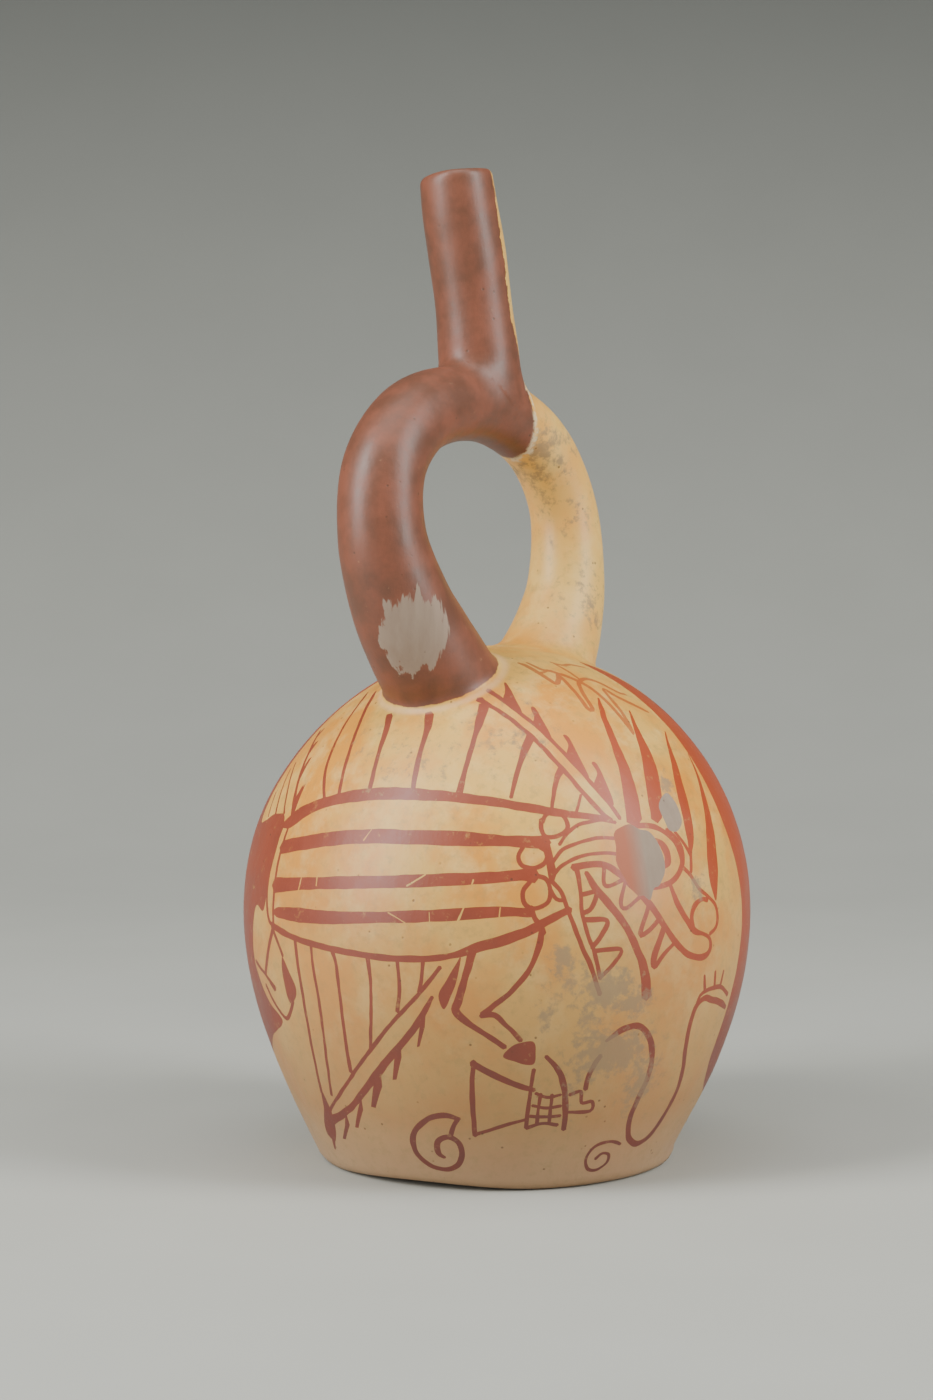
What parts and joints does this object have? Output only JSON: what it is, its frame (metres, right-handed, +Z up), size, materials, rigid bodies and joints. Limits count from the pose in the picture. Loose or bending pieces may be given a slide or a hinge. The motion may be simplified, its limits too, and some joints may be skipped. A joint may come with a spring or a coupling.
{
  "type": "stirrup spout vessel",
  "caption": "Round-bodied hollow clay bottle with a two-legged tubular stirrup handle that carries one upright spout, slip-painted in fine lines.",
  "frame": {"origin": "on the ground, under the centre of the base", "axes": "+Z up along the axis of the body; the stirrup stands over the X axis with its thicker leg at -X; the stirrup and the spout lean 5 degrees to +Y"},
  "size_m": [0.1486, 0.1486, 0.2878],
  "materials": {
    "slip_painted_clay": "fired earthenware, burnished cream and dark red slip, painted in red-brown line"
  },
  "bodies": {
    "root": {"stirrup_bottle": "slip_painted_clay"}
  },
  "joints": []
}
